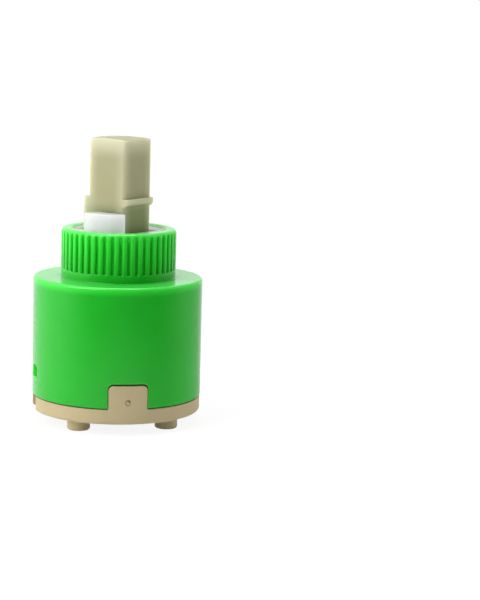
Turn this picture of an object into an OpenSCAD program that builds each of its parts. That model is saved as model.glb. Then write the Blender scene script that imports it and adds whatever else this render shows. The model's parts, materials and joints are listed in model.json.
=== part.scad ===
// Single-lever ceramic disc tap cartridge of the 40 mm class, as separate pieces.
// Origin on the axis at the underside of the base, +Z towards the stem, the base's tab at -Y.
// The rotor group is drawn with its tilt direction along +X and then turned to its rest position.

/* [Housing] */
// Outside radius of the housing
body_r = 20; // [19.6:0.1:22]
// Height of the housing's shoulder above the base's underside
shoulder_h = 31.8; // [31:0.1:36]
// Thickness of the shoulder
shoulder_t = 2.3; // [1.6:0.1:3]
// Wall thickness of the housing
body_wall = 1.8; // [1.4:0.1:2]
// Rounding of the shoulder's outer edge
shoulder_edge_r = 0.7; // [0.3:0.1:1.2]
// Radius over the ridges of the neck
neck_r = 13.55; // [13:0.05:14.5]
// Height of the neck's rim
neck_h = 43.3; // [41:0.1:46]
// Radius of the neck's bore
neck_bore_r = 10.8; // [10.6:0.05:11.2]
// Rounding of the housing's lower edge
lower_edge_r = 0.3; // [0.1:0.05:0.5]
// Rounding of the neck's rim
neck_edge_r = 1; // [0.2:0.05:1.1]
// Chamfer inside the neck's rim
neck_chamfer = 0.6; // [0.2:0.1:1]
// Number of grooves round the neck
knurl_count = 45; // [36:1:48]
// Width of one ridge between two grooves
ridge_w = 1.2; // [0.9:0.05:1.25]
// Rounding of a ridge's crest
crest_r = 0.4; // [0.2:0.05:0.4]
// Depth of one groove
knurl_depth = 0.75; // [0.5:0.05:0.9]
// Plain band below the grooves
knurl_low_band = 1.9; // [0.8:0.1:3]
// Plain band above the grooves
knurl_high_band = 0.3; // [0.2:0.1:2]
// Height over which a groove runs out at its upper end
knurl_runout = 1.2; // [0.4:0.1:2]
// Width of a snap window
window_w = 9; // [4:0.1:9.5]
// Height of a snap window's lower edge
window_z = 8.2; // [8:0.05:8.6]
// Height of a snap window
window_h = 2.9; // [2.2:0.05:3.2]
// Corner radius of a snap window
window_corner_r = 1; // [0.2:0.05:1.1]

/* [Base] */
// Step of the base's rim inside the housing's surface
rim_step = 0.1; // [0:0.05:0.5]
// Height of the base's rim, where the housing starts
rim_h = 3.5; // [3:0.1:4.5]
// Rounding of the rim's lower edge
rim_edge_r = 0.7; // [0.3:0.1:1]
// Height of the deck that carries the fixed disc
deck_h = 7.5; // [7:0.1:8]
// Height of the wall round the fixed disc, above the deck
deck_wall_h = 2; // [1.5:0.1:3]
// Thickness of the wall round the fixed disc
deck_wall_t = 2; // [1.6:0.05:2.4]
// Width of the front tab
tab_w = 9.1; // [6:0.1:12]
// Height of the front tab's top edge
tab_h = 9.1; // [7:0.1:12]
// Corner radius of the front tab
tab_corner_r = 1.1; // [0.4:0.1:1.6]
// Corner radius of the cut-out for the tab
cutout_corner_r = 1.3; // [0.4:0.1:1.8]
// Height of the gate mark on the tab
gate_z = 5.2; // [4.5:0.1:6]
// Radius of the dimple at the gate mark
gate_r = 0.7; // [0.4:0.05:1]
// Depth of the dimple at the gate mark
gate_d = 0.2; // [0.1:0.05:0.4]
// Radius of the broken sprue in the gate mark
sprue_r = 0.3; // [0.2:0.05:0.35]
// Height of a snap hook
hook_h = 0.9; // [0.6:0.05:1.4]
// Reach of a snap hook into its window
hook_reach = 0.45; // [0.3:0.05:1]
// Depth by which the tab and the hooks are rooted in the deck's wall
root_t = 1; // [0.5:0.1:1.2]
// Width of the two notches in the rim
rim_notch_w = 6.9; // [5:0.1:9]
// Depth of a rim notch
rim_notch_d = 1.65; // [1:0.05:1.7]
// Width of the rim's land outside the relief pockets
rim_land = 2.2; // [2:0.05:2.8]
// Depth of the relief pockets
pocket_d = 1.2; // [0.6:0.1:2]
// Land left round each inlet loop of the seal
inlet_land = 1.85; // [1.2:0.05:2.2]
// Land left round the outlet loop of the seal
outlet_land = 1.95; // [1.2:0.05:2.4]
// Width of the ribs between the pockets
pocket_rib_w = 1.9; // [1:0.1:3]
// Angle of the side ribs from the X axis
pocket_rib_angle = 23.5; // [18:0.5:30]
// Distance of a locating peg from the middle plane
peg_x = 10.3; // [9.5:0.1:11]
// Distance of the locating pegs from the axis, towards the front
peg_y = 11.25; // [10.5:0.05:12]
// Radius of a locating peg
peg_r = 2.65; // [1.8:0.05:2.8]
// Length of a locating peg below the base
peg_l = 2.65; // [1.5:0.05:4]
// Step at the root of a peg, inside its pocket
peg_root = 0.2; // [0.1:0.05:0.4]
// Rounding of a peg's tip
peg_edge_r = 0.5; // [0.1:0.05:0.6]
// Radius of the core hole in a peg
peg_hole_r = 1.15; // [0.6:0.05:1.3]
// Depth of the core hole in a peg
peg_hole_d = 2.6; // [1:0.1:4]

/* [Water ways] */
// Distance of each inlet from the middle plane
inlet_x = 8; // [7.9:0.05:8.3]
// Distance of the inlets from the axis, towards the back
inlet_y = 5.8; // [5.4:0.05:6.1]
// Radius of an inlet's bowl
inlet_r = 5; // [4.4:0.05:5.2]
// Depth of an inlet's bowl
inlet_d = 1.5; // [0.8:0.1:2.5]
// Inner radius of the kidney slots about the axis
kidney_in_r = 7.6; // [7.2:0.05:8.2]
// Outer radius of the kidney slots about the axis
kidney_out_r = 10.4; // [9.8:0.05:10.8]
// Reach of a kidney slot from its inlet's centre
kidney_reach = 4.1; // [3.6:0.05:4.3]
// Distance of the outlet from the axis, towards the front
outlet_y = 5.4; // [5:0.05:5.8]
// Radius of the outlet through the deck
outlet_r = 5; // [4:0.05:5.2]
// Depth of the wide mouth of the outlet
outlet_mouth_d = 3.4; // [2:0.1:5]

/* [Seals] */
// Outer radius of the port seal's inlet loops
loop_r = 7.95; // [7.7:0.05:8.05]
// Width of the port seal round the inlets
loop_w = 2.25; // [1.8:0.05:2.4]
// Width of the port seal round the outlet
lobe_w = 2.35; // [1.9:0.05:2.5]
// Outer half width of the port seal's outlet loop
lobe_r = 8.35; // [7.8:0.05:8.6]
// Length of the outlet loop's straight sides
lobe_side = 3.9; // [3.5:0.05:4.3]
// Fillet outside the port seal, between an inlet loop and the outlet loop
seal_fillet_r = 1; // [0.8:0.05:1.4]
// Rounding of the outlet loop's shoulders, on its inside
seal_shoulder_r = 1.1; // [1:0.05:1.4]
// Lip of the base between the port seal and a water way
seal_lip = 0.7; // [0.4:0.05:0.9]
// Depth of the port seal's groove
seal_groove_d = 1.6; // [1:0.1:2]
// Height by which the port seal stands out of its groove
seal_proud = 0.4; // [0.1:0.05:0.8]
// Size of the step that rounds the port seal's crown
seal_crown = 0.3; // [0.1:0.05:0.5]
// Front edge of the bridge between the inlet loops
bridge_front = 3.6; // [3.3:0.05:4]
// Back edge of the bridge between the inlet loops
bridge_back = 8; // [7.6:0.05:8.4]
// Width of the bridge between the inlet loops
bridge_w = 2; // [1.5:0.1:3]
// Radius of the nibs that hold the port seal
nib_r = 0.5; // [0.3:0.05:0.7]
// Width of the disc seal's cord
disc_seal_w = 1.2; // [0.8:0.05:1.3]
// Thickness of the disc seal
disc_seal_t = 1.5; // [1:0.1:2]
// Land between the disc seal and a water way
disc_seal_land = 0.2; // [0.1:0.05:0.3]

/* [Ceramic discs] */
// Thickness of the fixed disc
fixed_t = 4; // [3.6:0.1:4.6]
// Inset of the moving disc inside the carrier's edge
moving_inset = 0.6; // [0.2:0.05:1]
// Thickness of the moving disc
moving_t = 3.6; // [3:0.1:4]
// Depth of the mixing chamber in the moving disc
chamber_d = 2; // [1:0.1:2.2]
// Radius of the mixing chamber's round ends
chamber_r = 6.2; // [5:0.1:7]
// Distance between the centres of the mixing chamber's round ends
chamber_l = 4; // [2:0.1:5]
// Width of the driving notches in the moving disc
key_w = 5; // [3:0.1:7]
// Depth of the driving notches in the moving disc
key_d = 1.6; // [1:0.1:2]

/* [Carrier] */
// Thickness of the carrier
carrier_t = 5.5; // [5:0.1:6]
// Space between the carrier and the housing at the ends of its travel
carrier_gap = 1.1; // [0.6:0.1:2]
// Depth of the flats at the carrier's guides
guide_flat = 2; // [1.4:0.1:3]
// Depth of the lugs that drive the moving disc
lug_d = 2.4; // [1.5:0.1:2.8]
// Depth of the socket for the stem's tip
socket_d = 4.5; // [4.3:0.05:4.8]

/* [Rotor] */
// Turn of the rotor from its middle position, at rest
rest_turn = 44.5; // [-50:0.5:50]
// Turn of the rotor to each side of its middle position
turn_limit = 50; // [40:1:50]
// Depth of the rotor's top below the neck's rim
rotor_sink = 0.5; // [0.4:0.1:1.5]
// Rise of the ear above the neck's rim
ear_rise = 4; // [2:0.1:6]
// Outside radius of the ear
ear_r = 10.2; // [9:0.05:10.5]
// Angle of the ear's front end from the tilt direction
ear_front = 45; // [40:1:60]
// Angle of the ear's back end from the tilt direction
ear_back = 106; // [85:1:120]
// Depth of the guides that reach down beside the carrier
guide_l = 5; // [3:0.1:5.2]
// Width of the housing's stop rib, in degrees
stop_angle = 8; // [5:1:12]
// Depth of the stop recess in the rotor's flange
stop_d = 1.4; // [0.8:0.1:1.8]
// Slack of the rotor's turn between its stops, in degrees
stop_slack = 1; // [0.5:0.5:3]
// Thickness of the glide ring
glide_t = 0.8; // [0.5:0.1:1.2]
// Radius of the pivot pin
pin_r = 1.5; // [1.2:0.05:1.8]
// Depth of the pin's ends below the rotor's barrel
pin_sink = 1; // [0.5:0.1:2]
// Depth of the pivot pin's axis below the neck's rim
pivot_sink = 5.3; // [4.6:0.1:5.6]

/* [Stem] */
// Side of the square stem
stem_w = 10.6; // [9.6:0.1:10.8]
// Corner radius of the square stem
stem_corner_r = 0.9; // [0.5:0.1:1.6]
// Height of the stem's crown
stem_h = 64.8; // [60:0.1:70]
// Rise of the crown over the stem's corners
crown_rise = 0.5; // [0.2:0.1:1]
// Height of the step on the stem's back
step_h = 50.6; // [49.5:0.1:53]
// Depth of the step on the stem's back
step_d = 1.7; // [0.5:0.1:1.8]
// Height of the barb on the stem's front
barb_h = 50.6; // [49:0.1:53]
// Reach of the barb
barb_reach = 1; // [0.4:0.1:1.1]
// Height of the barb's upright face
barb_face = 1; // [0.2:0.1:1.4]
// Height of the slope under the barb
barb_slope = 0.9; // [0.4:0.1:1.5]
// Length of the stem's block below the pivot
block_l = 6.5; // [5:0.1:7]
// Thickness of the finger below the pivot, along the tilt
finger_t = 4.6; // [4:0.1:4.8]
// Width of the finger, along the pin
finger_w = 7; // [5:0.1:8]
// Radius of the finger's rounded tip
tip_r = 2.6; // [2.4:0.05:2.7]
// Tilt of the stem to each side
tilt_limit = 12.5; // [8:0.5:12.5]

/* [Clearances] */
// Gap between housing and base, round the spigot and the hooks
fit_gap = 0.1; // [0.05:0.01:0.2]
// Seam between the housing's lower edge and the base's rim
seam_gap = 0.2; // [0.05:0.01:0.25]
// Gap beside the tab in its cut-out
tab_gap = 0.14; // [0.1:0.01:0.3]
// Gap above the tab in its cut-out
tab_top_gap = 0.45; // [0.2:0.05:0.6]
// Radial running gap of the rotor in the neck
run_gap = 0.08; // [0.04:0.01:0.1]
// Radial running gap of the stem on its pin
pin_gap = 0.06; // [0.03:0.01:0.1]
// Side gap of parts that slide on flat faces
slide_gap = 0.12; // [0.08:0.01:0.2]
// Water film between the discs and under the glide ring
film = 0.03; // [0.02:0.01:0.06]
// Gap of seals, discs and lugs in their seats
seat_gap = 0.1; // [0.05:0.01:0.15]
// Free space round parts that swing or turn past others
free_gap = 0.4; // [0.3:0.05:0.6]

/* [Hidden] */
$fn = 96;
// Small lap of joined pieces, and overshoot of cuts
eps = 0.01;
over = 1;

// Radii that follow from the housing
bore_r = body_r - body_wall;
spigot_r = bore_r - fit_gap;
barrel_r = neck_bore_r - run_gap;
flange_r = bore_r - free_gap;
rim_r = body_r - rim_step;
rim_notch_x = rim_r - rim_notch_d;
pocket_r = rim_r - rim_land;
fixed_r = spigot_r - deck_wall_t - seat_gap;

// Heights of the stack, from the base up
housing_z = rim_h + seam_gap;
moving_z = deck_h + fixed_t + film;
carrier_z = moving_z + moving_t;
carrier_top = carrier_z + carrier_t;
flange_z = carrier_top + free_gap;
ceiling_z = shoulder_h - shoulder_t;
glide_z = ceiling_z - glide_t;
flange_top = glide_z - film;
rotor_top = neck_h - rotor_sink;
pivot_h = neck_h - pivot_sink;
ear_h = neck_h + ear_rise;
socket_z = carrier_top - socket_d;

// The stem's tip stands clear of the socket's floor, and the tilt moves it by the lever arm
tip_z = socket_z + tip_r + free_gap;
lever_arm = pivot_h - tip_z;
tip_travel = lever_arm * tilt_limit * PI / 180;

// The carrier slides as far as the tip travels, and the moving disc goes with it
carrier_r = bore_r - tip_travel - carrier_gap;
moving_r = carrier_r - moving_inset;
guide_y = carrier_r - guide_flat;

// Half width of the stem, and the slot in the rotor that lets it tilt
stem_half = stem_w / 2;
block_z = pivot_h - block_l;
slot_y = stem_half + slide_gap;
swing_low = block_l * sin(tilt_limit);
slot_front = max(stem_half + swing_low, tip_travel + tip_r) + free_gap;
slot_back = stem_half + step_d + swing_low + free_gap;

// Contours of the port seal and of the water ways in the base
loop_in_r = loop_r - loop_w;
lobe_in_r = lobe_r - lobe_w;
lobe_top = lobe_side - outlet_y;
fillet_centre = beside_loop(lobe_r + seal_fillet_r - eps, seal_fillet_r);
shoulder_centre = beside_loop(lobe_in_r - seal_shoulder_r + eps, seal_shoulder_r);

// Nibs that hold the port seal, as loop centre, distance from it and angle
nibs = [
    [[-inlet_x, inlet_y], loop_r, 80],
    [[inlet_x, inlet_y], loop_r, 106],
    [[inlet_x, inlet_y], loop_r, -135],
    [[-inlet_x, inlet_y], loop_r, -160],
    [[0, -outlet_y], lobe_in_r, -92]
];

green = [0.16, 0.70, 0.21];
beige = [0.72, 0.66, 0.50];
black = [0.09, 0.09, 0.10];
ceramic = [0.93, 0.92, 0.89];
white = [0.90, 0.91, 0.92];
olive = [0.74, 0.73, 0.60];
steel = [0.72, 0.73, 0.75];

// A rectangle from the axis, r wide and from z0 to z1, with its outer upper corner rounded
module rounded_top(r, z0, z1, edge) {
    translate([0, z0]) square([r - edge, z1 - z0]);
    translate([0, z0]) square([r, z1 - z0 - edge]);
    translate([r - edge, z1 - edge]) circle(edge);
}

// The same with its outer lower corner rounded
module rounded_bottom(r, z0, z1, edge) {
    translate([0, z0]) square([r - edge, z1 - z0]);
    translate([0, z0 + edge]) square([r, z1 - z0 - edge]);
    translate([r - edge, z0 + edge]) circle(edge);
}

// A rectangle about the origin with all four corners rounded
module rounded_rect(w, h, r) {
    square([w - 2 * r, h], center = true);
    square([w, h - 2 * r], center = true);
    for (x = [-1, 1], y = [-1, 1])
        translate([x * (w / 2 - r), y * (h / 2 - r)]) circle(r);
}

// An upright plate on the front of the cartridge, from z = 0 up, with rounded upper corners
module front_plate(w, h, r) {
    rotate([90, 0, 0])
        linear_extrude(body_r + over)
            translate([0, (h - body_r) / 2])
                rounded_rect(w, h + body_r, r);
}

// A wedge-shaped sector about the axis, centred on an angle
module sector(angle, centre, r) {
    reach = 2 * r;
    polygon([
        [0, 0],
        reach * [cos(centre - angle / 2), sin(centre - angle / 2)],
        reach * [cos(centre), sin(centre)] * 1.5,
        reach * [cos(centre + angle / 2), sin(centre + angle / 2)]
    ]);
}

// Children repeated at the two inlets
module at_inlets() {
    for (side = [-1, 1]) translate([side * inlet_x, inlet_y]) children();
}

// A cut of the children's outline into the underside, d deep
module from_below(d) {
    translate([0, 0, -over]) linear_extrude(d + over) children();
}

// Children turned from the tilt frame to the rest position
module at_rest() {
    rotate(rest_turn - 90) children();
}

// The outlet's form: a round front end with straight sides running back to y
module lobe(r, y) {
    translate([0, -outlet_y]) circle(r);
    translate([-r, -outlet_y]) square([2 * r, outlet_y + y]);
}

// Centre, at x, of a circle of radius r that touches an inlet loop from the front
function beside_loop(x, r) = [x, inlet_y - sqrt(pow(loop_r + r - eps, 2) - pow(x - inlet_x, 2))];

// Patches on both sides that fill the corner between an inlet loop and a wall, up to a circle
module corner_patches(centre, r, wall, g) {
    for (side = [-1, 1])
        difference() {
            translate([side * (centre[0] + wall * r / 2), centre[1] + r]) square([r, 2 * r], center = true);
            translate([side * centre[0], centre[1]]) circle(r - g);
        }
}

// The opening inside the outlet loop, drawn in by g on every side
module outlet_opening(g) {
    difference() {
        lobe(lobe_in_r - g, bridge_front - g);
        at_inlets() circle(loop_r + g);
        corner_patches(shoulder_centre, seal_shoulder_r, 1, g);
    }
}

// Outline of the port seal, grown by g on every side
module port_seal_outline(g = 0) {
    difference() {
        union() {
            at_inlets() circle(loop_r + g);
            lobe(lobe_r + g, lobe_top);
            corner_patches(fillet_centre, seal_fillet_r, -1, g);
            translate([-bridge_w / 2, bridge_front - g])
                square([bridge_w, bridge_back - bridge_front + 2 * g]);
        }
        at_inlets() circle(loop_in_r - g);
        outlet_opening(g);
    }
}

// Outline of the disc seal: three rings joined by straight bars, grown by g
module disc_seal_outline(g = 0) {
    in_r = kidney_reach + disc_seal_land;
    out_r = outlet_r + disc_seal_land;
    span = norm([inlet_x, inlet_y + outlet_y]);
    lean = atan2(inlet_y + outlet_y, inlet_x);
    bar = disc_seal_w + 2 * g;
    difference() {
        union() {
            at_inlets() circle(in_r + disc_seal_w + g);
            translate([0, -outlet_y]) circle(out_r + disc_seal_w + g);
            translate([-inlet_x, inlet_y - bar / 2]) square([2 * inlet_x, bar]);
            for (angle = [lean, 180 - lean])
                translate([0, -outlet_y]) rotate(angle) translate([0, -bar / 2]) square([span, bar]);
        }
        at_inlets() circle(in_r - g);
        translate([0, -outlet_y]) circle(out_r - g);
    }
}

// The kidney slots of the inlets, within a reach of each inlet's centre
module kidneys(reach) {
    intersection() {
        difference() {
            circle(kidney_out_r);
            circle(kidney_in_r);
        }
        at_inlets() circle(reach);
    }
}

// Outline of the relief pockets in the underside, with the ribs left standing
module pocket_outline() {
    difference() {
        circle(pocket_r);
        at_inlets() circle(loop_r + inlet_land);
        translate([0, -outlet_y]) circle(lobe_r + outlet_land);
        for (angle = [-pocket_rib_angle, 180 + pocket_rib_angle, -90])
            rotate(angle) translate([0, -pocket_rib_w / 2]) square([body_r, pocket_rib_w]);
    }
}

// Outline of one ridge of the knurl, along +X, with its crest rounded
module ridge_outline() {
    root = neck_r - 2 * knurl_depth;
    side_y = ridge_w / 2 - crest_r;
    translate([root, -ridge_w / 2]) square([2 * knurl_depth - crest_r, ridge_w]);
    translate([root, -side_y]) square([2 * knurl_depth + over, 2 * side_y]);
    for (side = [-1, 1]) translate([neck_r - crest_r, side * side_y]) circle(crest_r);
}

// One groove of the knurl, between two ridges, that runs out at its upper end
module knurl_groove() {
    pitch = 2 * PI * neck_r / knurl_count;
    root = neck_r - knurl_depth;
    low = shoulder_h + knurl_low_band;
    high = neck_h - knurl_high_band;
    rise = over * knurl_runout / knurl_depth;
    intersection() {
        translate([0, 0, low])
            linear_extrude(high + rise - low)
                difference() {
                    translate([root, -pitch / 2]) square([knurl_depth + over, pitch]);
                    for (side = [-1, 1]) rotate(side * 180 / knurl_count) ridge_outline();
                }
        rotate([90, 0, 0])
            linear_extrude(pitch, center = true)
                polygon([
                    [root, low - over],
                    [neck_r + over, low - over],
                    [neck_r + over, high + rise],
                    [root, high - knurl_runout]
                ]);
    }
}

module housing() {
    color(green) {
        difference() {
            rotate_extrude() difference() {
                union() {
                    rounded_bottom(body_r, housing_z, ceiling_z, lower_edge_r);
                    rounded_top(body_r, ceiling_z - over, shoulder_h, shoulder_edge_r);
                    rounded_top(neck_r, ceiling_z, neck_h, neck_edge_r);
                }
                translate([0, housing_z - over]) square([bore_r, ceiling_z - housing_z + over]);
                translate([0, housing_z]) square([neck_bore_r, neck_h]);
                polygon([
                    [neck_bore_r - eps, neck_h - neck_chamfer - eps],
                    [neck_bore_r + neck_chamfer + eps, neck_h + eps],
                    [neck_bore_r - eps, neck_h + eps]
                ]);
            }
            for (k = [0:knurl_count - 1]) rotate(k * 360 / knurl_count) knurl_groove();
            front_plate(tab_w + 2 * tab_gap, tab_h + tab_top_gap, cutout_corner_r);
            for (side = [0, 180])
                rotate(side)
                    translate([bore_r - over, 0, window_z + window_h / 2])
                        rotate([90, 0, 90])
                            linear_extrude(body_wall + 2 * over)
                                rounded_rect(window_w, window_h, window_corner_r);
        }
        // Stop rib that limits the rotor's turn
        translate([0, 0, flange_z + free_gap])
            linear_extrude(ceiling_z - glide_t - flange_z - free_gap)
                intersection() {
                    difference() {
                        circle(bore_r + body_wall / 2);
                        circle(flange_r - stop_d + free_gap);
                    }
                    sector(stop_angle, 90, body_r);
                }
    }
}

module base() {
    color(beige) {
        difference() {
            union() {
                rotate_extrude() rounded_bottom(rim_r, 0, rim_h, rim_edge_r);
                cylinder(r = spigot_r, h = deck_h + deck_wall_h);
                base_tab();
                for (side = [0, 180]) rotate(side) snap_hook();
            }
            // Seat of the fixed disc, with a key left on each side
            translate([0, 0, deck_h]) linear_extrude(deck_wall_h + over) fixed_disc_outline(seat_gap);
            translate([0, 0, deck_h - disc_seal_t])
                linear_extrude(disc_seal_t + eps) disc_seal_outline(seat_gap);
            // Notches in the rim, relief pockets and the groove of the port seal
            for (side = [0, 180])
                rotate(side)
                    translate([rim_notch_x, -rim_notch_w / 2, -over])
                        cube([body_r, rim_notch_w, rim_h + over]);
            from_below(pocket_d) pocket_outline();
            from_below(seal_groove_d) port_seal_outline(seat_gap);
            // Water ways
            from_below(inlet_d) at_inlets() circle(inlet_r);
            from_below(deck_h + over) kidneys(kidney_reach);
            from_below(outlet_mouth_d) outlet_opening(seal_lip);
            from_below(deck_h + over) translate([0, -outlet_y]) circle(outlet_r);
            at_gate(gate_d) cylinder(r = gate_r, h = gate_d + over);
        }
        at_gate(gate_d) sphere(sprue_r);
        for (side = [-1, 1]) translate([side * peg_x, -peg_y, 0]) locating_peg();
        for (nib = nibs)
            translate(nib[0])
                rotate(nib[2])
                    translate([nib[1], 0, 0])
                        cylinder(r = nib_r, h = seal_groove_d + eps, $fn = 24);
    }
}

// The tab on the base's front, in the housing's cut-out
module base_tab() {
    intersection() {
        front_plate(tab_w, tab_h, tab_corner_r);
        difference() {
            cylinder_between(rim_r, rim_edge_r, tab_h + over);
            cylinder_between(spigot_r - root_t, 0, tab_h + 2 * over);
        }
    }
}

// Children on the tab's face at the gate mark, d deep and facing outwards
module at_gate(d) {
    translate([0, d - rim_r, gate_z]) rotate([90, 0, 0]) children();
}

// A hook on the deck's wall that snaps into a window of the housing
module snap_hook() {
    hook_w = window_w - 2 * window_corner_r;
    translate([0, 0, window_z + fit_gap])
        linear_extrude(hook_h)
            intersection() {
                difference() {
                    circle(bore_r + hook_reach);
                    circle(spigot_r - root_t);
                }
                translate([0, -hook_w / 2]) square([body_r, hook_w]);
            }
}

// A locating peg with a rounded tip and a core hole
module locating_peg() {
    rotate_extrude()
        difference() {
            union() {
                rounded_bottom(peg_r, -peg_l, pocket_d, peg_edge_r);
                square([peg_r + peg_root, pocket_d + eps]);
            }
            translate([0, -peg_l - over]) square([peg_hole_r, peg_hole_d + over]);
        }
}

// The three-loop seal in the underside, with a stepped crown
module port_seal() {
    color(black) {
        difference() {
            union() {
                translate([0, 0, -seal_proud + seal_crown])
                    linear_extrude(seal_groove_d + seal_proud - seal_crown) port_seal_outline();
                translate([0, 0, -seal_proud])
                    linear_extrude(seal_crown + eps) port_seal_outline(-seal_crown);
            }
            for (nib = nibs)
                translate(nib[0])
                    rotate(nib[2])
                        translate([nib[1], 0, -over])
                            cylinder(r = nib_r + seat_gap, h = seal_groove_d + 2 * over, $fn = 24);
        }
    }
}

// The seal under the fixed disc
module disc_seal() {
    color(black)
        translate([0, 0, deck_h - disc_seal_t])
            linear_extrude(disc_seal_t) disc_seal_outline();
}

// Outline of the fixed disc with a keyway at the front and at the back
module fixed_disc_outline(g = 0) {
    difference() {
        circle(fixed_r + g);
        for (side = [-1, 1])
            translate([0, side * fixed_r]) square([key_w - 2 * g, 2 * (key_d - g)], center = true);
    }
}

// The fixed ceramic disc with its inlet kidneys and its outlet
module fixed_disc() {
    color(ceramic)
        translate([0, 0, deck_h])
            linear_extrude(fixed_t)
                difference() {
                    fixed_disc_outline();
                    kidneys(kidney_reach);
                    translate([0, -outlet_y]) circle(outlet_r);
                }
}

// The low-friction ring between the rotor and the housing's shoulder
module glide_ring() {
    color(white)
        translate([0, 0, glide_z])
            difference() {
                cylinder(r = flange_r - stop_d, h = glide_t);
                translate([0, 0, -over]) cylinder(r = neck_bore_r + free_gap, h = glide_t + 2 * over);
            }
}

// The stem's holder, which turns in the neck
module rotor() {
    color(white)
        at_rest()
            difference() {
                union() {
                    translate([0, 0, flange_z])
                        linear_extrude(flange_top - flange_z)
                            difference() {
                                circle(flange_r);
                                stop_recess();
                            }
                    translate([0, 0, flange_z - guide_l])
                        linear_extrude(guide_l + eps)
                            difference() {
                                circle(flange_r);
                                square([2 * body_r, 2 * (guide_y + slide_gap)], center = true);
                            }
                    cylinder_between(barrel_r, flange_top - eps, rotor_top);
                    translate([0, 0, rotor_top - eps]) linear_extrude(ear_h - rotor_top + eps) ear();
                }
                translate([-slot_back, -slot_y, flange_z - over])
                    cube([slot_back + slot_front, 2 * slot_y, ear_h]);
                pivot_bore(barrel_r + over, pin_r + film);
            }
}

// The recess in the flange's rim that runs against the housing's stop rib
module stop_recess() {
    intersection() {
        difference() {
            circle(body_r);
            circle(flange_r - stop_d);
        }
        sector(2 * turn_limit + stop_angle + stop_slack, 180, body_r);
    }
}

// Outline of the ear that rises out of the neck beside the stem
module ear() {
    intersection() {
        circle(ear_r);
        sector(ear_back - ear_front, -(ear_front + ear_back) / 2, ear_r);
    }
}

// A cylinder about the axis from one height to another
module cylinder_between(r, z0, z1) {
    translate([0, 0, z0]) cylinder(r = r, h = z1 - z0);
}

// A round bar along the pivot, half_l to each side
module pivot_bore(half_l, r) {
    translate([0, 0, pivot_h])
        rotate([90, 0, 0])
            cylinder(r = r, h = 2 * half_l, center = true, $fn = 48);
}

// The steel pin on which the stem tilts
module pivot_pin() {
    color(steel) at_rest() pivot_bore(barrel_r - pin_sink, pin_r);
}

// The square stem with its step, its barb and the finger that drives the carrier
module stem() {
    color(olive)
        at_rest()
            difference() {
                union() {
                    intersection() {
                        translate([0, 0, block_z])
                            linear_extrude(stem_h - block_z) rounded_rect(stem_w, stem_w, stem_corner_r);
                        translate([0, 0, stem_h - crown_radius()]) sphere(crown_radius(), $fn = 128);
                    }
                    stem_block();
                    stem_barb();
                    stem_finger();
                }
                pivot_bore(stem_w, pin_r + pin_gap);
            }
}

// Radius of the sphere that crowns the stem
function crown_radius() =
    let (corner = stem_half * sqrt(2) - stem_corner_r * (sqrt(2) - 1))
    (corner * corner + crown_rise * crown_rise) / (2 * crown_rise);

// The deeper part of the stem below the step on its back
module stem_block() {
    translate([-stem_half - step_d, 0, block_z])
        linear_extrude(step_h - block_z)
            translate([(stem_w + step_d) / 2, 0])
                rounded_rect(stem_w + step_d, stem_w, stem_corner_r);
}

// The barb across the stem's front
module stem_barb() {
    bottom = barb_h - barb_face - barb_slope;
    intersection() {
        rotate([90, 0, 0])
            linear_extrude(2 * stem_w, center = true)
                polygon([
                    [0, barb_h],
                    [stem_half + barb_reach, barb_h],
                    [stem_half + barb_reach, barb_h - barb_face],
                    [stem_half, bottom],
                    [0, bottom]
                ]);
        translate([barb_reach / 2, 0, bottom - over])
            linear_extrude(barb_h - bottom + 2 * over)
                rounded_rect(stem_w + barb_reach, stem_w, stem_corner_r);
    }
}

// The finger below the pivot, with a rounded tip across it
module stem_finger() {
    translate([-finger_t / 2, -finger_w / 2, tip_z]) cube([finger_t, finger_w, block_z - tip_z + over]);
    translate([0, 0, tip_z]) rotate([90, 0, 0]) cylinder(r = tip_r, h = finger_w, center = true, $fn = 48);
}

// The slide that the stem's tip moves, and that drives the moving disc
module carrier() {
    color(white)
        at_rest() {
            difference() {
                translate([0, 0, carrier_z])
                    linear_extrude(carrier_t)
                        intersection() {
                            circle(carrier_r);
                            square([2 * carrier_r, 2 * guide_y], center = true);
                        }
                translate([0, 0, socket_z])
                    linear_extrude(socket_d + over)
                        square([2 * (tip_r + slide_gap), finger_w + 2 * slide_gap], center = true);
            }
            for (side = [0, 180])
                rotate(side)
                    translate([0, 0, carrier_z - lug_d])
                        linear_extrude(lug_d + eps)
                            intersection() {
                                circle(moving_r);
                                translate([moving_r - key_d + seat_gap, -key_w / 2 + seat_gap])
                                    square([key_d, key_w - 2 * seat_gap]);
                            }
        }
}

// The moving ceramic disc with its mixing chamber
module moving_disc() {
    color(ceramic)
        at_rest()
            translate([0, 0, moving_z])
                difference() {
                    linear_extrude(moving_t)
                        difference() {
                            circle(moving_r);
                            for (side = [-1, 1])
                                translate([side * moving_r, 0]) square([2 * key_d, key_w], center = true);
                        }
                    translate([0, 0, -over])
                        linear_extrude(chamber_d + over) {
                            square([chamber_l, 2 * chamber_r], center = true);
                            for (side = [-1, 1]) translate([side * chamber_l / 2, 0]) circle(chamber_r);
                        }
                }
}

housing();
base();
port_seal();
disc_seal();
fixed_disc();
glide_ring();
rotor();
pivot_pin();
stem();
carrier();
moving_disc();
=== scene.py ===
# %% [markdown]
# # Dressing a ceramic disc tap cartridge
# The cartridge is the working heart of a single-lever mixer tap: a green moulded housing, a beige
# base with a rubber seal, and a square stem that tilts and turns. The solids arrive finished, with
# every piece in its place, so this lesson is about surfaces: how moulded plastic, rubber and
# ceramic catch the light, and how a plain studio shows them. Blender counts in metres, so small
# lengths are written with mm.

# %% Load the solids
import json
import math

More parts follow.
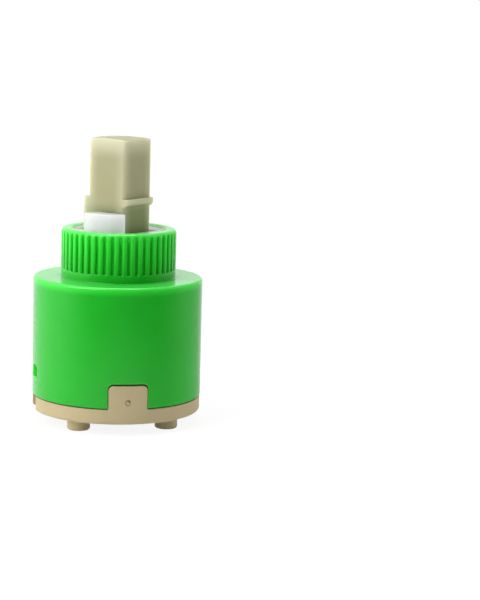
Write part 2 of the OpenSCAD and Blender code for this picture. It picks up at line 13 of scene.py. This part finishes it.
import bpy
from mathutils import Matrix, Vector


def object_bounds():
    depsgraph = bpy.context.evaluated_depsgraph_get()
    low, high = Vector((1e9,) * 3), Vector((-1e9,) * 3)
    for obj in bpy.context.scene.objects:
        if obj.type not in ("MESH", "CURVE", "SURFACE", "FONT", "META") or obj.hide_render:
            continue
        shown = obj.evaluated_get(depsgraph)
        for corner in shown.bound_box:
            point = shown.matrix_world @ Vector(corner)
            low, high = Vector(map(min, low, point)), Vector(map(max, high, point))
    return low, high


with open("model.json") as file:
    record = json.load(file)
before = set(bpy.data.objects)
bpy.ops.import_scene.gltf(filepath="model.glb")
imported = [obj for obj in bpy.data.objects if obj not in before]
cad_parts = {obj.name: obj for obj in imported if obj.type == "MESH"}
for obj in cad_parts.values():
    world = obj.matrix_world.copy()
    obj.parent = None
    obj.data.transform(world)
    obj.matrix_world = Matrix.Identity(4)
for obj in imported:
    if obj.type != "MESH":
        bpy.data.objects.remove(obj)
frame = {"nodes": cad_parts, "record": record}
cad_low, cad_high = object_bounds()
nodes = frame["nodes"]
mm = 0.001
middle = Vector((0, 0, 30 * mm))
print("pieces:", sorted(nodes))

# %% [markdown]
# ## The camera
# A product photograph of this kind is taken from a short distance with a long lens, a little above
# the object. A camera that tracks the object would put it in the middle, but here it stands in the
# left half of the picture. So the camera is set by plain numbers: its place in front of the tab,
# its three angles and its lens.

# %% Place the camera
camera_data = bpy.data.cameras.new("photo_camera")
camera_data.lens = 111.4
camera_data.sensor_width = 36
camera_data.clip_start = 0.01
camera = bpy.data.objects.new("photo_camera", camera_data)
camera.location = (-0.0619, -0.4323, 0.0966)
tilt, roll, pan = 80.89, -1.62, -11.70
camera.rotation_euler = [math.radians(angle) for angle in (tilt, roll, pan)]
bpy.context.scene.collection.objects.link(camera)
bpy.context.scene.camera = camera
bpy.context.scene.view_settings.view_transform = "Standard"
print("camera", round((camera.location - middle).length, 3), "m away")

# %% [markdown]
# ## Shader sums written as Python
# A node graph is easier to read as arithmetic. A Wire holds one output socket, and the usual
# operators on it add Math nodes. Every other node comes from Finish.add, which takes the node's
# type, its settings and its inputs. A Finish belongs to a material, or to the world behind it all.

# %% Wires
class Wire:
    """One shader value that can be used in Python arithmetic."""

    def __init__(self, finish, socket):
        self.finish = finish
        self.socket = socket

    def math(self, operation, first, second):
        return self.finish.add("ShaderNodeMath", {"operation": operation}, {0: first, 1: second})

    def __add__(self, other):
        return self.math("ADD", self, other)

    def __sub__(self, other):
        return self.math("SUBTRACT", self, other)

    def __mul__(self, other):
        return self.math("MULTIPLY", self, other)

    def __rsub__(self, other):
        return self.math("SUBTRACT", other, self)

    __radd__ = __add__
    __rmul__ = __mul__

    def __abs__(self):
        return self.math("ABSOLUTE", self, 0)

    def most(self, other):
        return self.math("MAXIMUM", self, other)

    def least(self, other):
        return self.math("MINIMUM", self, other)


# %% Finishes
class Finish:
    """A material, or a world, and the nodes that make it."""

    def __init__(self, owner):
        owner.use_nodes = True
        self.owner = owner
        self.tree = owner.node_tree
        self.surface = self.tree.nodes.get("Principled BSDF")

    def add(self, kind, settings=None, inputs=None, out=0):
        """Add a node, set it up, and return one of its outputs."""
        made = self.tree.nodes.new(kind)
        for name, value in (settings or {}).items():
            setattr(made, name, value)
        for name, value in (inputs or {}).items():
            self.feed(made.inputs[name], value)
        return Wire(self, made.outputs[out])

    def feed(self, socket, value):
        """Link a wire to a socket, or write a plain value on it."""
        if isinstance(value, Wire):
            self.tree.links.new(value.socket, socket)
        else:
            socket.default_value = value

    def set(self, **values):
        """Feed the sockets of the Principled shader by name."""
        for name, value in values.items():
            self.feed(self.surface.inputs[name.replace("_", " ")], value)

    def scatter(self, weight, radius):
        """Let light in, to come out again up to a radius away, in red, green and blue."""
        self.set(Subsurface_Weight=weight, Subsurface_Radius=radius, Subsurface_Scale=1.0)

    def place(self):
        """The point on the piece, in metres."""
        return self.add("ShaderNodeTexCoord", out="Object")

    def turned_place(self, turn, stretch=(1, 1, 1)):
        """The point on a piece that stands turned on the upright axis."""
        sockets = {"Vector": self.place(), "Rotation": (0, 0, -turn), "Scale": stretch}
        return self.add("ShaderNodeMapping", {"vector_type": "POINT"}, sockets)

    def facing(self):
        """The way that the surface faces."""
        return self.add("ShaderNodeNewGeometry", out="Normal")

    def noise(self, scale, detail=3, roughness=0.55):
        """Soft random values around one half."""
        sockets = {"Vector": self.place(), "Scale": scale, "Detail": detail, "Roughness": roughness}
        return self.add("ShaderNodeTexNoise", {}, sockets)

    def rise(self, value, low, high):
        """A soft step from 0 to 1."""
        sockets = {"Value": value, "From Min": low, "From Max": high}
        return self.add("ShaderNodeMapRange", {"interpolation_type": "SMOOTHSTEP"}, sockets)

    def fall(self, value, low, high):
        """A soft step from 1 to 0."""
        return 1 - self.rise(value, low, high)

    def blend(self, amount, first, second):
        """A mix of two colours. The Mix node keeps its colour sockets at 6 and 7."""
        sockets = {"Factor": amount, 6: first, 7: second}
        return self.add("ShaderNodeMix", {"data_type": "RGBA"}, sockets, out=2)

    def paint(self, under, *layers):
        """Lay tones over a colour, each through its mask and at its strength."""
        for mask, strength, tone in layers:
            under = self.blend(mask * strength, under, tone)
        return under

    def dull(self, grain, base, spread):
        """A roughness that rises from its base where the grain is coarse."""
        return self.rise(grain, 0.2, 0.8) * spread + base

    def vector(self, operation, first, second=(0, 0, 0), out=0):
        return self.add("ShaderNodeVectorMath", {"operation": operation}, {0: first, 1: second}, out)

    def axes(self, vector):
        return [self.add("ShaderNodeSeparateXYZ", {}, {0: vector}, axis) for axis in range(3)]

    def soft_edges(self, radius):
        """A facing that rounds sharp edges for the light."""
        return self.add("ShaderNodeBevel", {"samples": 8}, {"Radius": radius})

    def edge_mask(self, rounded, low, high):
        """1 on the edges, where the rounded facing turns away from the real one."""
        return self.rise(1 - self.vector("DOT_PRODUCT", rounded, self.facing(), "Value"), low, high)

    def bump(self, height, distance, rounded):
        """A facing with fine relief on top of the rounded one."""
        sockets = {"Height": height, "Distance": distance, "Strength": 1.0, "Normal": rounded}
        return self.add("ShaderNodeBump", {}, sockets)


def new_finish(slot):
    """A new material under a name of the record's slots."""
    return Finish(bpy.data.materials.new(slot))


def colour(red, green, blue):
    """A screen colour, 0 to 255, as the linear colour that shaders use, by the sRGB curve."""
    shares = [value / 255 for value in (red, green, blue)]
    return [*(s / 12.92 if s < 0.04 else ((s + 0.055) / 1.055) ** 2.4 for s in shares), 1]


print("mid grey is", round(colour(128, 128, 128)[0], 3), "in a shader")

# %% [markdown]
# ## The green housing
# It is moulded in a bright, slightly translucent plastic. Light leaks through it where it is thin,
# so the ridges of the knurl, the rims and the shoulder's edge look paler than the walls, and here
# that light is painted into the colour. One could paint such places by hand on a UV map. The housing
# is a turned shape, though, so distance from the axis and height say where they are, and masks made
# from those two need no map.

# %% Housing coordinates
shoulder_height = 31.8 * mm
body_radius = 20.0 * mm
neck_radius = 13.55 * mm
groove_floor = neck_radius - 0.75 * mm
bore_radius = 10.8 * mm
rim_height = 43.3 * mm
housing_green = new_finish("housing_green")
across, along, height = housing_green.axes(housing_green.place())
flat = housing_green.add("ShaderNodeCombineXYZ", {}, {0: across, 1: along})
radius = housing_green.vector("LENGTH", flat, out="Value")
print("neck", round(2 * neck_radius / mm, 1), "mm across")

# %% [markdown]
# The neck glows most, in painted light. Its ridges get a painted glow that pales towards the rim,
# the troughs between them are painted with deep green light, and the brow of each trough, under
# the rim, with more. The thin rim gets a painted glow and highlight, and its inner wall, the hollow,
# gets painted light from the white rotor.

# %% Masks of painted light on the neck
climb = housing_green.rise(height, shoulder_height + 1.2 * mm, rim_height - 0.4 * mm)
ridge = housing_green.rise(radius, groove_floor, neck_radius) * climb
above_band = housing_green.rise(height, shoulder_height + 1.8 * mm, shoulder_height + 2.2 * mm)
trough = housing_green.fall(radius, groove_floor, neck_radius - 0.3 * mm) * above_band
brow = housing_green.rise(height, rim_height - 4.4 * mm, rim_height - 1.2 * mm) * trough
rim = housing_green.rise(height, rim_height - 1.8 * mm, rim_height)
hollow = housing_green.fall(radius, bore_radius + 0.2 * mm, bore_radius + 0.9 * mm) * rim
print("neck masks:", len(housing_green.tree.nodes), "nodes")

# %% [markdown]
# Below the neck the shoulder's edge and the cut walls of the two snap windows, which lie inside the
# housing's skin on either side, are thin and get a painted glow and highlight. The shoulder's flat
# ledge gets a painted lighter tone on its top, which faces the lamp overhead. A Bevel node rounds
# every sharp edge for the light, and where it turns the surface most the edge gets a painted
# highlight.

# %% Masks of painted light on the shoulder, the windows and the edges
window_low, window_high = 7.8 * mm, 11.4 * mm
window_side = 14.0 * mm
window_blur, side_blur = 0.2 * mm, 1.0 * mm
crest_share = 0.6
lip = housing_green.rise(radius, neck_radius, neck_radius + 1.5 * mm)
edge = housing_green.rise(height, shoulder_height - 2.4 * mm, shoulder_height - 0.2 * mm) * lip
ledge = housing_green.rise(height, shoulder_height - 0.8 * mm, shoulder_height - 0.1 * mm) * lip
cut = housing_green.fall(radius, body_radius - 0.3 * mm, body_radius - 0.1 * mm)
side = housing_green.rise(abs(across), window_side - side_blur, window_side + side_blur)
over_sill = housing_green.rise(height, window_low - window_blur, window_low + window_blur)
under_top = housing_green.fall(height, window_high - window_blur, window_high + window_blur)
window_wall = cut * side * over_sill * under_top
rounded = housing_green.soft_edges(0.35 * mm)
# painted highlight on the edges that the Bevel node rounds
painted_edge_light = housing_green.edge_mask(rounded, 0.02, 0.30)
painted_thin_light = edge.most(window_wall).most(painted_edge_light * crest_share)
print("all masks:", len(housing_green.tree.nodes), "nodes")

# %% [markdown]
# The tones, nearly all of them painted light, are laid over the body's green one by one. A polished
# mould leaves the skin glossy, with a very shallow waviness that bends reflections. Some of the
# light that enters comes out nearby, green light farthest, which is what subsurface scattering
# gives.

# %% Housing finish
cloud = housing_green.noise(scale=90, detail=2)
wave = housing_green.noise(scale=420, detail=1)
grain = housing_green.noise(scale=5200, detail=2)
body_tone = housing_green.blend(cloud, colour(17, 170, 28), colour(25, 180, 36))
housing_tone = housing_green.paint(
    body_tone,
    # painted light in the troughs, the brows and on the ridges
    (trough, 0.80, colour(20, 204, 30)),
    (brow, 0.80, colour(46, 240, 56)),
    (ridge, 0.80, colour(52, 216, 60)),
    # painted glow and highlight on thin edges and window walls, and a painted lighter top on the
    # ledge
    (painted_thin_light, 0.75, colour(54, 226, 62)),
    (ledge, 0.50, colour(86, 210, 98)),
    # painted glow and highlight on the rim, and painted light from the white rotor in the hollow
    (rim, 0.60, colour(92, 230, 98)),
    (hollow, 0.85, colour(176, 232, 172)),
)
housing_green.set(
    Base_Color=housing_tone,
    Roughness=housing_green.dull(grain, base=0.12, spread=0.05),
    Normal=housing_green.bump(wave * 0.25 + grain * 0.04, 0.02 * mm, rounded),
    IOR=1.5,
)
housing_green.scatter(0.6, (0.5 * mm, 2.0 * mm, 0.5 * mm))
print("housing finish:", len(housing_green.tree.nodes), "nodes")

# %% [markdown]
# ## The beige base
# The base is an engineering plastic with a satin skin. It has faint flow clouds, a fine grain that
# breaks up the shine, and a painted highlight that pales its edges. The plastic entered the mould at
# the gate mark on the tab, and the broken sprue there is scorched a little brown. A scorch could be
# a decal, but a distance from the gate, broken up by noise, stays sharp at any size.

# %% Base finish
gate_place = (0.1 * mm, -19.7 * mm, 5.5 * mm)
base_beige = new_finish("base_beige")
rounded = base_beige.soft_edges(0.30 * mm)
painted_edge_light = base_beige.edge_mask(rounded, 0.02, 0.35)
flow = base_beige.noise(scale=160, detail=4, roughness=0.6)
grain = base_beige.noise(scale=4200)
skin = base_beige.blend(flow, colour(178, 161, 121), colour(190, 175, 136))
from_gate = base_beige.vector("DISTANCE", base_beige.place(), gate_place, "Value")
patch = base_beige.rise(base_beige.noise(scale=1900, detail=2), 0.42, 0.56)
scorch = base_beige.fall(from_gate, 0.25 * mm, 0.65 * mm) * patch
base_tone = base_beige.paint(
    skin,
    # painted highlight along the edges
    (painted_edge_light, 0.40, colour(210, 197, 162)),
    (scorch, 0.75, colour(96, 70, 40)),
)
base_beige.set(
    Base_Color=base_tone,
    Roughness=base_beige.dull(grain, base=0.42, spread=0.12),
    Normal=base_beige.bump(grain, 0.012 * mm, rounded),
)
base_beige.scatter(0.12, (0.9 * mm, 0.7 * mm, 0.4 * mm))
print("base finish:", len(base_beige.tree.nodes), "nodes")

# %% [markdown]
# ## Rubber
# The port seal is black moulded rubber. Pure black would make a hole in the picture, so the colour
# stays just above it, and a soft, broad shine and a trace of mould dust show the seal's crown. A
# lowered specular level keeps white surroundings from greying it.

# %% Seal finish
seal_black = new_finish("seal_black")
rounded = seal_black.soft_edges(0.40 * mm)
dust = seal_black.rise(seal_black.noise(scale=2600, detail=5, roughness=0.7), 0.55, 0.75)
grain = seal_black.noise(scale=3600)
seal_black.set(
    Base_Color=seal_black.paint(colour(11, 11, 13), (dust, 0.25, colour(38, 38, 42))),
    Roughness=seal_black.dull(grain, base=0.36, spread=0.12),
    Normal=seal_black.bump(grain, 0.010 * mm, rounded),
    Specular_IOR_Level=0.3,
)
print("seal finish:", len(seal_black.tree.nodes), "nodes")

# %% [markdown]
# ## Ceramic
# The discs are lapped alumina: white, hard and smooth. A flat white would do at a distance. Up
# close a fine speck in colour, gloss and height, all from one noise, keeps it from looking painted.

# %% Disc finish
disc_ceramic = new_finish("disc_ceramic")
rounded = disc_ceramic.soft_edges(0.10 * mm)
speck = disc_ceramic.noise(scale=3000, detail=4)
disc_ceramic.set(
    Base_Color=disc_ceramic.blend(speck, colour(226, 226, 224), colour(238, 238, 236)),
    Roughness=speck * 0.10 + 0.18,
    Normal=disc_ceramic.bump(speck, 0.003 * mm, rounded),
)
print("disc finish:", len(disc_ceramic.tree.nodes), "nodes")

# %% [markdown]
# ## The white rotor
# The stem's holder is a slippery white plastic. It lets much light in, so its shadows stay pale and
# its ear is nearly even in tone. Glowing paint would look the same in every light, and scattering
# over several millimetres follows the light instead.

# %% Rotor finish
rotor_white = new_finish("rotor_white")
rounded = rotor_white.soft_edges(0.25 * mm)
cloud = rotor_white.noise(scale=300)
grain = rotor_white.noise(scale=4800, detail=2)
rotor_white.set(
    Base_Color=rotor_white.blend(cloud, colour(208, 207, 211), colour(216, 215, 218)),
    Roughness=rotor_white.dull(grain, base=0.34, spread=0.08),
    Normal=rotor_white.bump(grain, 0.008 * mm, rounded),
)
rotor_white.scatter(0.9, (6.0 * mm, 6.0 * mm, 6.0 * mm))
print("rotor finish:", len(rotor_white.tree.nodes), "nodes")

# %% [markdown]
# ## The stem
# The stem is an unfilled, olive-grey plastic, and translucent like the rotor. Where a corner, the
# crown or the flange is thin, light comes through, and the masks paint that light on as a paler
# tone. The middle of each face, the heart, is deeper, and down in the neck it gets painted shade and
# painted green light from the housing. The lid on top gets less of the painted light, a painted
# shade that keeps the top, lit from above, from turning too pale. Scattering alone would show the
# light through the thin parts weakly, so the painted masks help it. The stem stands turned on the
# axis, and a Mapping node turns the masks with it.

# %% Masks of painted light and shade on the stem
rest_turn = math.radians(44.5 - 90)
stem_half = 5.3 * mm
crown_height = 64.8 * mm
barb_foot = 48.7 * mm
corner_share, crown_share, flange_share = 0.45, 0.72, 0.50
lid_share = 0.75
stem_olive = new_finish("stem_olive")
turned = stem_olive.turned_place(rest_turn)
along, across, height = stem_olive.axes(stem_olive.vector("ABSOLUTE", turned))
# painted light where the corners, the crown and the flange are thin
corner = stem_olive.rise(along.least(across), stem_half - 3.4 * mm, stem_half)
crown = stem_olive.rise(height, crown_height - 5.4 * mm, crown_height - 1.4 * mm)
flange = stem_olive.rise(along, stem_half + 0.2 * mm, stem_half + 0.8 * mm)
upward = stem_olive.axes(stem_olive.facing())[2]
# painted shade on the lid, which pales less
lid = stem_olive.rise(upward, 0.40, 0.90)
deep = (1 - corner * corner_share) * (1 - crown * crown_share) * (1 - flange * flange_share)
painted_glow = (1 - deep) * (1 - lid * lid_share)
# painted shade and painted green light from the housing, down in the neck
painted_foot_shade_and_bounce = stem_olive.fall(height, barb_foot - 1.5 * mm, barb_foot + 1.0 * mm)
print("stem masks:", len(stem_olive.tree.nodes), "nodes")

# %% Stem finish
rounded = stem_olive.soft_edges(0.35 * mm)
flow = stem_olive.noise(scale=240)
grain = stem_olive.noise(scale=4600)
heart = stem_olive.blend(flow, colour(161, 158, 122), colour(171, 169, 133))
stem_tone = stem_olive.paint(
    heart,
    # painted shade and painted green light at the foot
    (painted_foot_shade_and_bounce, 0.70, colour(128, 141, 90)),
    # painted light through the thin parts
    (painted_glow, 1.00, colour(202, 201, 176)),
)
stem_olive.set(
    Base_Color=stem_tone,
    Roughness=stem_olive.dull(grain, base=0.40, spread=0.10),
    Normal=stem_olive.bump(grain, 0.010 * mm, rounded),
    Specular_IOR_Level=0.35,
)
stem_olive.scatter(0.9, (4.8 * mm, 4.8 * mm, 3.4 * mm))
print("stem finish:", len(stem_olive.tree.nodes), "nodes")

# %% [markdown]
# ## The pivot pin
# A ground steel pin, brushed round by the grinding wheel. Noise that is squeezed along the pin
# turns into fine rings, which vary the gloss. An anisotropic shine would do the same with more
# work, and the pin shows only when the cartridge is taken apart.

# %% Pin finish
pin_steel = new_finish("pin_steel")
squeezed = pin_steel.turned_place(rest_turn, stretch=(1, 12, 1))
rings = pin_steel.add("ShaderNodeTexNoise", {}, {"Vector": squeezed, "Scale": 900, "Detail": 3})
pin_steel.set(
    Base_Color=colour(196, 198, 202),
    Metallic=1.0,
    Roughness=rings * 0.2 + 0.2,
)
print("pin finish:", len(pin_steel.tree.nodes), "nodes")

# %% [markdown]
# ## Dressing
# The record says which slot each solid wears. The solids keep their meshes, and only the material
# in each slot is changed.

# %% Give every solid its finish
finishes = {
    "housing_green": housing_green,
    "base_beige": base_beige,
    "seal_black": seal_black,
    "disc_ceramic": disc_ceramic,
    "rotor_white": rotor_white,
    "stem_olive": stem_olive,
    "pin_steel": pin_steel,
}
for part in frame["record"]["subparts"]:
    solid = nodes[part["node"]]
    for slot in solid.material_slots:
        slot.material = finishes[part["material_slot"]].owner
    print(part["node"], "wears", part["material_slot"])

# %% [markdown]
# ## A plain white studio
# The picture has a bright, even white ground. A strong light on a white floor would also bleach the
# cartridge. So the floor and the world answer each kind of ray in its own way, and Light Path tells
# which kind is asking: to the eye, in a mirror and through glass they are white, and to light on
# its way they are a sheet of paper and a weak glow.

# %% Which rays look
def looking(finish):
    """1 for rays from the eye, in a mirror or through glass, and 0 for light on its way."""
    kinds = ("Is Camera Ray", "Is Glossy Ray", "Is Transmission Ray")
    eye, mirror, glass = [finish.add("ShaderNodeLightPath", out=kind) for kind in kinds]
    return eye + mirror + glass


# %% [markdown]
# The white walls of a studio end where the photographer stands. A glossy front mirrors that dark
# side and keeps its deep colour, while the flanks mirror white on the left and grey on the right.
# Each side fades in between two cosines of the angle to its middle.

# %% The unlit sides of the room
dark_side = Vector((0.03, -1.00, 0.0)).normalized()
grey_side = Vector((0.99, -0.14, 0.0)).normalized()
dark_span = (0.0, 0.8)
grey_span = (0.1, 0.8)
dark_share = 0.95
grey_share = 0.50


def room_level(finish, heading, reach=1):
    """1 all round, and less for mirror rays that head for the dark side or the grey one."""
    mirror = finish.add("ShaderNodeLightPath", out="Is Glossy Ray")
    dark = finish.rise(finish.vector("DOT_PRODUCT", heading, dark_side, "Value"), *dark_span)
    grey = finish.rise(finish.vector("DOT_PRODUCT", heading, grey_side, "Value"), *grey_span)
    return (1 - dark * mirror * reach * dark_share) * (1 - grey * mirror * grey_share)


print("mirrors see", round(1 - dark_share, 2), "in front and", 1 - grey_share, "on the right")

# %% [markdown]
# The floor is a broad round sheet. Near the cartridge a share of it is real paper, which takes the
# soft shadow, and farther out it is almost pure white. The dark side reaches the floor only a
# little way off, because the sheet beside the cartridge is always lit.

# %% Floor
floor_radius = 3
dark_reach = (-0.02, 0.20)
white_reach = (0.10, 0.45)
near_white, far_white = 0.87, 0.99
white_level = 1.03
bpy.ops.object.select_all(action="DESELECT")
bpy.ops.mesh.primitive_circle_add(
    vertices=96, radius=floor_radius, fill_type="NGON", location=(0, 0, cad_low[2])
)
floor = bpy.context.object
floor.name = "floor"
paper = new_finish("floor_paper")
paper.set(Base_Color=colour(250, 250, 250), Roughness=0.9)
distance = paper.vector("LENGTH", paper.place(), out="Value")
reach = paper.rise(distance, *dark_reach)
level = room_level(paper, paper.vector("NORMALIZE", paper.place()), reach)
white_share = paper.rise(distance, *white_reach) * (far_white - near_white) + near_white
white = paper.add("ShaderNodeEmission", {}, {"Color": level * white_level, "Strength": 1.0})
lit = Wire(paper, paper.surface.outputs[0])
sheet = paper.add("ShaderNodeMixShader", {}, {0: looking(paper) * white_share, 1: lit, 2: white})
paper.feed(paper.tree.nodes["Material Output"].inputs["Surface"], sheet)
floor.data.materials.append(paper.owner)
print("floor", 2 * floor_radius, "m across at height", round(cad_low[2], 5))

# %% [markdown]
# The key light is a soft box high in front on the left. A long box on the left lights the pale
# flank, a broad one behind on the right lights the other, and one overhead lights the crown and the
# shoulder. The two at the sides are hidden from mirrors, so that they light the plastic without
# drawing white shapes on its gloss. The powers are set so that a colour renders about as it is
# written on a wall that faces between the eye and the key.

# %% Lamps
def soft_box(name, place, size, power):
    """A rectangular lamp that looks at the middle of the cartridge."""
    lamp = bpy.data.lights.new(name, "AREA")
    lamp.shape = "RECTANGLE"
    lamp.size, lamp.size_y = size
    lamp.energy = power
    holder = bpy.data.objects.new(name, lamp)
    holder.location = place
    aim = middle - holder.location
    holder.rotation_euler = aim.to_track_quat("-Z", "Y").to_euler()
    bpy.context.scene.collection.objects.link(holder)
    print(name, power, "W")
    return holder


soft_box("key_box", place=(-0.48, -0.26, 0.56), size=(0.50, 0.50), power=3.3)
left_box = soft_box("left_box", place=(-0.64, 0.02, 0.15), size=(1.00, 0.50), power=4.0)
right_box = soft_box("right_box", place=(0.66, 0.22, 0.20), size=(1.20, 0.80), power=4.8)
soft_box("top_box", place=(0.00, 0.05, 0.78), size=(0.42, 0.42), power=2.3)
for box in (left_box, right_box):
    box.visible_glossy = False

# %% [markdown]
# The world is the rest of the room. It is white to look at, and gives an even, weak glow that keeps
# the shadows open.

# %% World
glow_level = 0.18
studio = Finish(bpy.data.worlds.new("studio_white"))
bpy.context.scene.world = studio.owner
level = room_level(studio, studio.add("ShaderNodeTexCoord", out="Generated"))
glow = studio.add("ShaderNodeBackground", {}, {"Color": (1, 1, 1, 1), "Strength": glow_level})
white = studio.add("ShaderNodeBackground", {}, {"Color": level, "Strength": 1.0})
around = studio.add("ShaderNodeMixShader", {}, {0: looking(studio), 1: glow, 2: white})
studio.feed(studio.tree.nodes["World Output"].inputs["Surface"], around)
print("world glow", glow_level)
